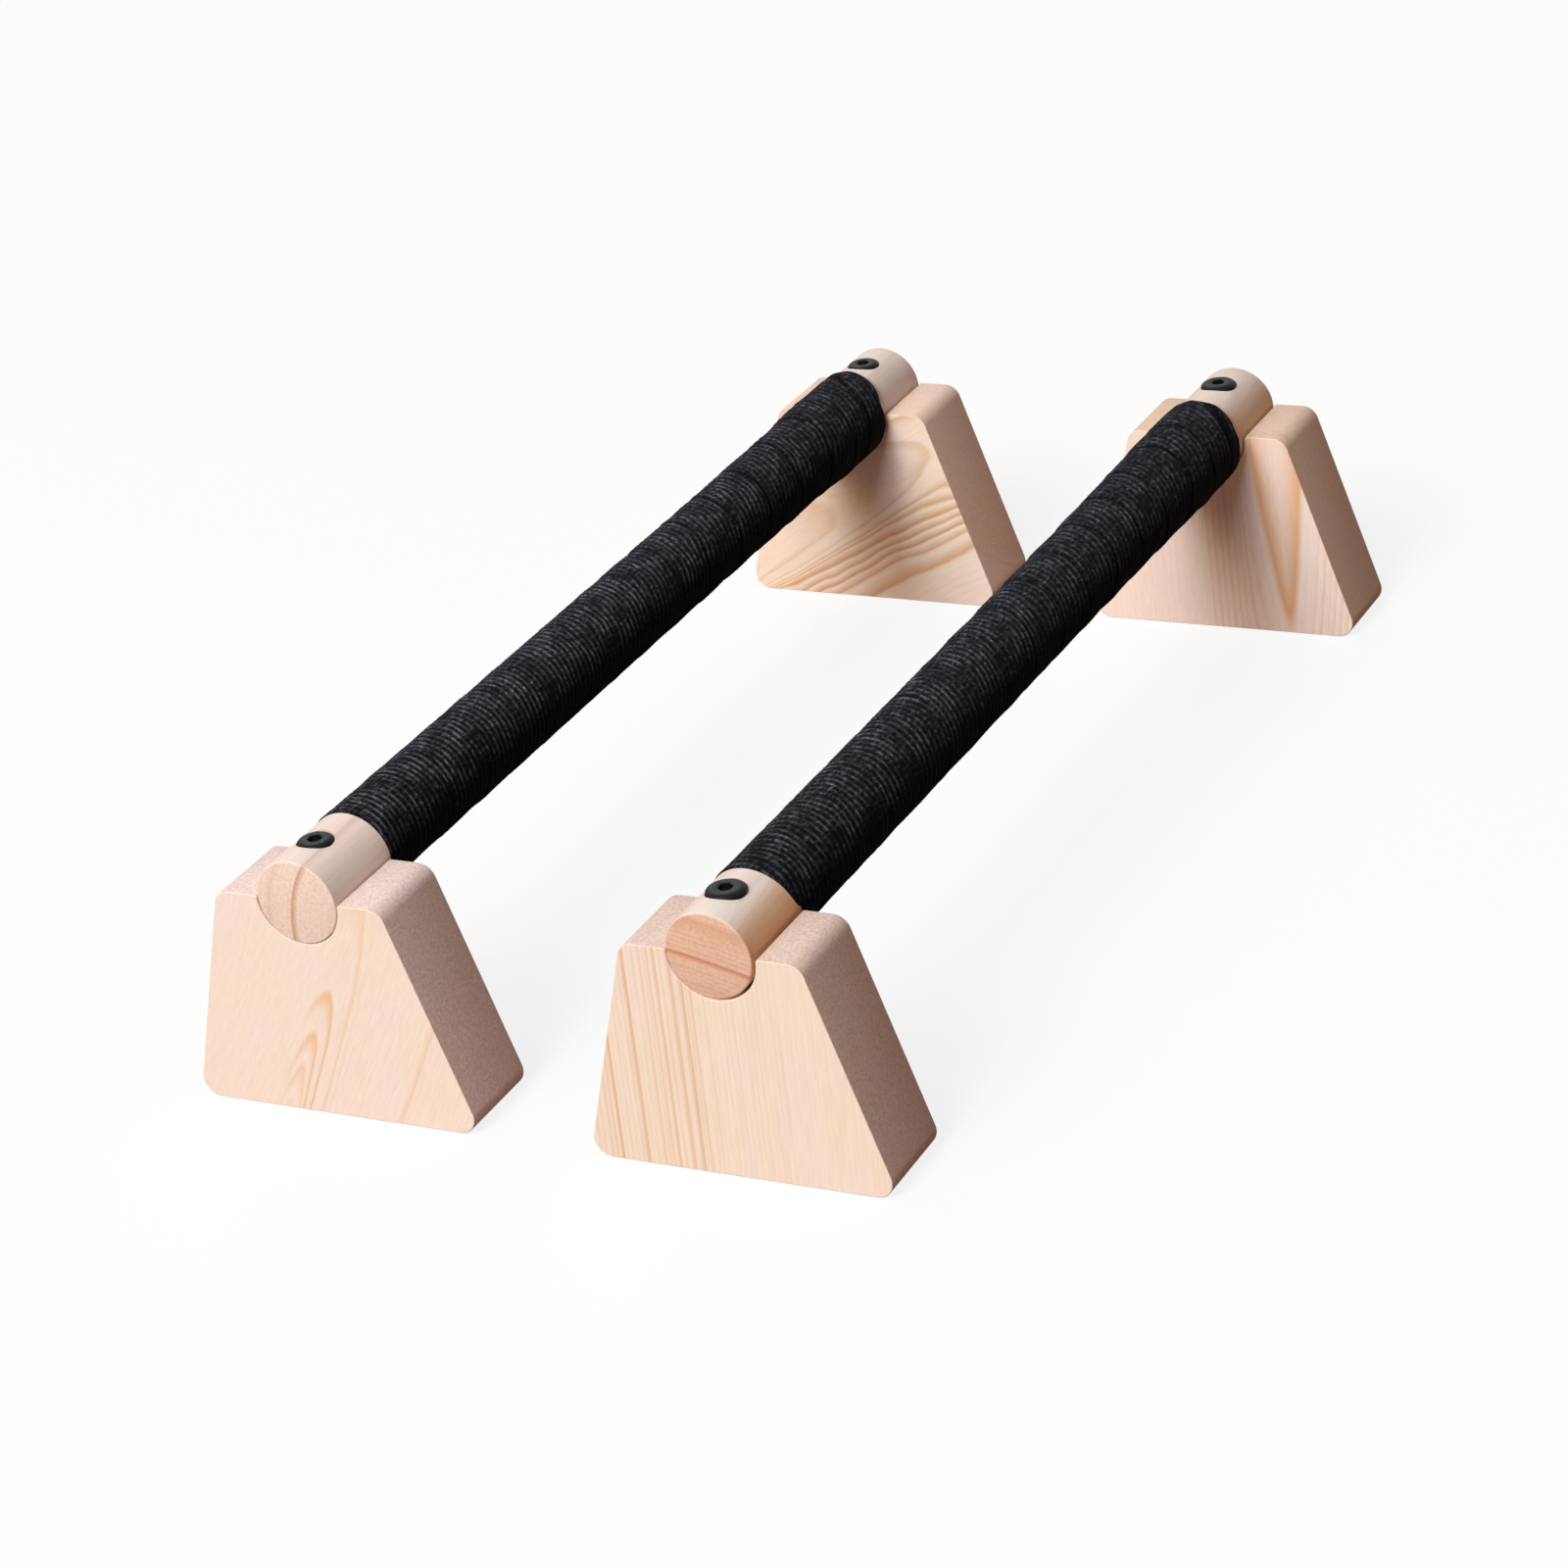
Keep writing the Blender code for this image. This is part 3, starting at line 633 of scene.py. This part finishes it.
def grip(side, material, seed):
    """The wound bandage, as a radius over distance along the rail and angle round it, which starts at the
    bottom. Laps climb round the rail at the chosen edges; in a lap the tape steps up at its front edge and
    sinks to the next, most clearly towards the rear. Its elastic threads are narrow cosine ridges that
    climb too: a few a turn at the front end, where the tape was laid on straight, and more with every lap.
    Towards the rear end more turns lie on each other and the grip swells."""
    part = side + "_grip_wrap"
    low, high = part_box(part)
    rng = np.random.default_rng(seed)
    phi = np.linspace(-math.pi / 2, 1.5 * math.pi, GRIP_AROUND + 1)[None, :-1]
    share = np.linspace(0, 1, GRIP_ALONG)[:, None]
    front = low[1] - FRONT_REACH[side] * upward(phi, FRONT_SLANT)
    rear = high[1] + REAR_REACH[side][0] + REAR_REACH[side][1] * upward(phi, REAR_SLANT)
    y = front + share * (rear - front)

    # Laps and the creases between them
    turn = lap_count(y, LAPS[side]) - phi / (2 * math.pi)
    turn = turn + 0.04 * waves(rng, y, phi, count=8, turns=3, length=60 * MM)
    across = turn % 1.0
    bold = np.interp(y, *LAP_BOLDNESS)
    step = np.clip(across * LAP_PITCH / LAP_EDGE, 0, 1)
    lap = bold * (1 - across) * step * step * (3 - 2 * step)
    crease = bold * np.clip(1 - np.minimum(across, 1 - across) * LAP_PITCH / LAP_EDGE, 0, 1)

    # Threads, weaker where the grip swells
    climb = np.rint(np.interp(np.floor(turn), *THREAD_CLIMB))
    phase = (y - low[1]) / THREAD_SPACING[side] * (1 - 0.06 * share) - climb * (phi / (2 * math.pi) - 0.25)
    phase = phase + 0.14 * waves(rng, y, phi, count=10, turns=5, length=26 * MM)
    swell = np.interp(y, *BUILD_UP[side])
    strength = np.clip(0.76 + 0.32 * waves(rng, y, phi, count=12, turns=9, length=34 * MM), 0.1, 1.1)
    strength = strength * (1 - 0.1 * swell / MM) * np.interp(y, *THREAD_STRENGTH)
    ridge = (0.5 + 0.5 * np.cos(2 * math.pi * phase)) ** 2 * strength * (1 - bold * (1 - step))
    ridge_brightness = RIDGE_BRIGHTNESS[side] * np.interp(y, *RIDGE_BRIGHTNESS_ALONG)

    # Surface, thinned at both ends, and back along the rail
    uneven = GRIP_UNEVENNESS * waves(rng, y, phi, count=10, turns=3, length=22 * MM)
    ends = np.minimum(share, 1 - share) * (high[1] - low[1]) / GRIP_END_ROUNDING
    full = np.sqrt(np.clip(ends, 0.15, 1))
    radius = GRIP_BASE + swell + LAP_STEP * (lap - 0.5 * crease) + THREAD_RIDGE * ridge + uneven
    radius = GRIP_INNER + np.maximum(radius - GRIP_INNER, GRIP_LEAST) * full
    inner = np.full((2, phi.size), GRIP_INNER)
    radius = np.concatenate([radius, inner])
    y = np.concatenate([y + 0 * phi, y[-1:] + 0 * phi, y[:1] + 0 * phi])
    rings = np.stack([BAR_X[side] + radius * np.cos(phi), y, AXIS_Z + radius * np.sin(phi)], axis=-1)
    piece = skin(side + "_bandage_grip", rings, material, tube=True, sharp=math.radians(80))
    # The ridge values carry the painted highlights of the threads, the crease values the painted shade of the
    # creases
    for name, values in (("ridge", ridge_brightness * ridge ** THREAD_CONTRAST), ("crease", CREASE_SHADE * crease)):
        stored = piece.data.attributes.new(name, "FLOAT", "POINT")
        stored.data.foreach_set("value", np.concatenate([values, 0 * inner]).ravel())
    stand_for(piece, side, part)


def softbox(name, toward, size, watts, colour):
    """A square lamp that looks back at the object from one direction."""
    data = bpy.data.lights.new(name, "AREA")
    data.shape = "SQUARE"
    data.size = size
    data.energy = watts
    data.color = colour
    lamp = bpy.data.objects.new(name, data)
    bpy.context.scene.collection.objects.link(lamp)
    toward = Vector(toward).normalized()
    lamp.location = Vector(LAMP_AIM) + LAMP_DISTANCE * toward
    lamp.rotation_euler = toward.to_track_quat("Z", "Y").to_euler()


def studio():
    """Pale floor, a row of soft lights from the front to the left, a weaker one from behind, and an even warm
    sky that the camera and mirrors see as white."""
    corners = [(x * FLOOR_HALF, y * FLOOR_HALF) for x, y in ((-1, -1), (1, -1), (1, 1), (-1, 1))]
    floor = skin("floor", np.array([[(x, y, z) for x, y in corners] for z in FLOOR_HEIGHTS]), floor_paint())
    softbox("key", (-0.155, -0.727, 0.669), 3.2, 474.0, (0.89, 0.98, 1.0))
    softbox("front", (0.028, -0.798, 0.602), 3.4, 370.0, (1.0, 0.96, 0.98))
    softbox("left", (-0.426, -0.609, 0.669), 3.2, 151.0, (1.0, 0.60, 0.34))
    softbox("rim", (-0.507, 0.604, 0.616), 3.2, 150.0, (0.70, 0.84, 1.0))
    world = bpy.data.worlds.new("sky")
    world.use_nodes = True
    bpy.context.scene.world = world
    tree = world.node_tree
    tree.nodes.clear()
    path = node(tree, "ShaderNodeLightPath").outputs
    seen = node(tree, "ShaderNodeMath", {0: path["Is Camera Ray"], 1: path["Is Glossy Ray"]},
                operation="MAXIMUM")
    seen = node(tree, "ShaderNodeMath", {0: seen.outputs[0], 1: path["Is Transmission Ray"]},
                operation="MAXIMUM")
    fill = node(tree, "ShaderNodeBackground", {"Color": (*WARM, 1), "Strength": FILL_STRENGTH})
    white = node(tree, "ShaderNodeBackground", {"Color": (1, 1, 1, 1), "Strength": 1.0})
    sky = node(tree, "ShaderNodeMixShader", {0: seen.outputs[0], 1: fill.outputs[0], 2: white.outputs[0]})
    node(tree, "ShaderNodeOutputWorld", {"Surface": sky.outputs[0]})


def floor_paint():
    """White paper: seen directly it is nearly white and keeps a light shadow; as a bounce it is
    a warm mid grey."""
    material, tree, shader = new_material("floor_paper")
    path = node(tree, "ShaderNodeLightPath").outputs
    tone = node(tree, "ShaderNodeMix", {"Factor": path["Is Camera Ray"], "A": linear("#90766a"),
                                        "B": linear("#ffffff")}, data_type="RGBA")
    tree.links.new(tone.outputs["Result"], shader.inputs["Base Color"])
    shader.inputs["Roughness"].default_value = 1.0
    shader.inputs["Specular IOR Level"].default_value = 0.0
    glow = node(tree, "ShaderNodeEmission", {"Color": (1, 1, 1, 1), "Strength": 1.0})
    share = node(tree, "ShaderNodeMath", {0: path["Is Camera Ray"], 1: FLOOR_GLOW}, operation="MULTIPLY")
    paper = node(tree, "ShaderNodeMixShader", {0: share.outputs[0], 1: shader.outputs[0], 2: glow.outputs[0]})
    output = next(made for made in tree.nodes if made.type == "OUTPUT_MATERIAL")
    tree.links.new(paper.outputs[0], output.inputs["Surface"])
    return material


def camera():
    """The photograph's own view: place, direction, roll and lens."""
    a, e, roll = CAMERA_AZIMUTH, CAMERA_ELEVATION, CAMERA_ROLL
    back = np.array([math.sin(a) * math.cos(e), -math.cos(a) * math.cos(e), math.sin(e)])
    level = np.array([math.cos(a), math.sin(a), 0.0])
    upright = np.cross(back, level)
    right = math.cos(roll) * level + math.sin(roll) * upright
    up = math.cos(roll) * upright - math.sin(roll) * level
    data = bpy.data.cameras.new("camera")
    data.lens = CAMERA_LENS
    data.sensor_width = CAMERA_FILM
    data.sensor_fit = "HORIZONTAL"
    view = bpy.data.objects.new("camera", data)
    bpy.context.scene.collection.objects.link(view)
    matrix = np.eye(4)
    matrix[:3, :4] = np.stack([right, up, back, np.array(CAMERA_AT)], axis=1)
    view.matrix_world = Matrix(matrix.tolist())
    bpy.context.scene.camera = view


bpy.context.scene.view_settings.view_transform = "Standard"
camera()
studio()
OXIDE = black_oxide()
TAPE = bandage()
ZINC = cast_zinc()
RAIL_WOOD = {
    "left": timber(
        "left_rail_beech", pith=(BAR_X["left"] + 49 * MM, 0, 75 * MM), fibre=(0, 1, 0), pale="#f4e5d8",
        blush="#f6e7de", late="#d2a282", cut="#f6eee9",
        rings=[(44.5, 3, 0.2), (60.3, 2.4, 0.9), (70.5, 3, 0.25)],
        fine=(2.4, 0.2), wave=(40, 0.6, 0.4), seed=3, sawn=RAIL_END, taper=(-999, -998, 0.03)),
    "right": timber(
        "right_rail_beech", pith=(BAR_X["right"] - 53 * MM, 0, -147 * MM), fibre=(0, 1, 0), pale="#f0e3d7",
        blush="#f2e8df", late="#d3863c", cut="#efd4c2",
        rings=[(245, 2, 0.25), (255.6, 2.2, 0.8), (270.2, 7.5, 0.36)], fine=(1.9, 0.45),
        wave=(40, 0.6, 0.4), seed=8, sawn=RAIL_END, taper=(-999, -998, 0.06),
        # The right flank's orange: partly the beech's own, partly painted warm bounce light on its shaded
        # side
        flank=(62, 71, 0.82, 0.55, "#e49f4a")),
}
FOOT_WOOD = {
    "left_front": timber(
        "left_front_pine", pith=(BAR_X["left"] + 5.7 * MM, -240.4 * MM, 52.3 * MM), fibre=(0.47, 0.088, 0.88),
        pale="#f3e3d1", blush="#f3e3d8", late="#edc290", cut="#fbf6fd",
        rings=[(4.5, 0.7, 0.3), (6.05, 0.8, 0.6), (7.4, 0.9, 0.9), (9.6, 0.9, 1.0), (14.0, 1.3, 0.5),
               (16.2, 1.0, 0.25), (44, 2.2, 0.5)],
        fine=(3.1, 0.14), wave=(18, 1.1, 0.4), seed=4, sawn=ROUGH_SIDE, fade=(-6, -1, 0.05, 1)),
    "right_front": timber(
        "right_front_pine", pith=(BAR_X["right"] - 150 * MM, -235 * MM, 40 * MM), fibre=(0.03, 0, 1),
        pale="#f2e2cd", blush="#f2e2d5", late="#deaf84", cut="#f2e9ed",
        rings=[(99.4, 1.2, 0.5), (101.4, 1.2, 0.5), (103.6, 1.6, 0.95), (114.4, 2.0, 0.8), (121.4, 1.5, 0.4),
               (124.6, 1.5, 0.4), (127.2, 1.6, 0.7), (133, 2.0, 0.7), (137, 2.0, 0.8), (140.2, 1.6, 0.5)],
        fine=(2.2, 0.5), wave=(60, 0.8, 0.4), seed=2, sawn=ROUGH_SIDE, fade=(130, 185, 1, 0.3)),
    "left_rear": timber(
        "left_rear_pine", pith=(BAR_X["left"] + 34.5 * MM, 273 * MM, 72.3 * MM), fibre=(0.853, 0.088, 0.513),
        pale="#fce8d0", blush="#fce8d9", late="#dda872", cut="#f7eeec",
        rings=[(54.7, 2.2, 0.45), (60, 0.8, 0.5), (62.6, 1.0, 0.7), (64.2, 1.1, 0.85), (66, 1.2, 1.0),
               (67.8, 1.2, 0.9), (69.8, 1.3, 1.0), (72, 1.5, 0.8), (76.5, 3.2, 0.85)],
        fine=(2.8, 0.15), wave=(24, 2.0, 0.8), seed=6, sawn=FINE_SIDE, taper=(10, 22, 0.11)),
    "right_rear": timber(
        "right_rear_pine", pith=(BAR_X["right"] + 31.5 * MM, 213 * MM, 25 * MM), fibre=(-0.01, -0.1, 1),
        pale="#fceada", blush="#fce8de", late="#e6af76", cut="#ebe1d3",
        rings=[(3.9, 8, 0.88), (14, 1.6, 0.25), (17.5, 1.4, 0.4), (20.3, 1.4, 0.3), (23, 1.4, 0.35),
               (26, 1.6, 0.4), (29, 1.6, 0.3), (32, 1.6, 0.4), (35, 1.6, 0.3)],
        fine=(3.2, 0.14), wave=(30, 0.8, 0.4), seed=9, sawn=FINE_SIDE, taper=(-20, -10, 0.15)),
}
for side, seed in (("left", 11), ("right", 23)):
    handrail(side, RAIL_WOOD[side])
    grip(side, TAPE, seed)
    for end in ("front", "rear"):
        foot(side, end, FOOT_WOOD[side + "_" + end])
        bolt(side, end, OXIDE)
        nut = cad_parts[side + "_" + end + "_insert_nut"].data.materials
        nut.clear()
        nut.append(ZINC)
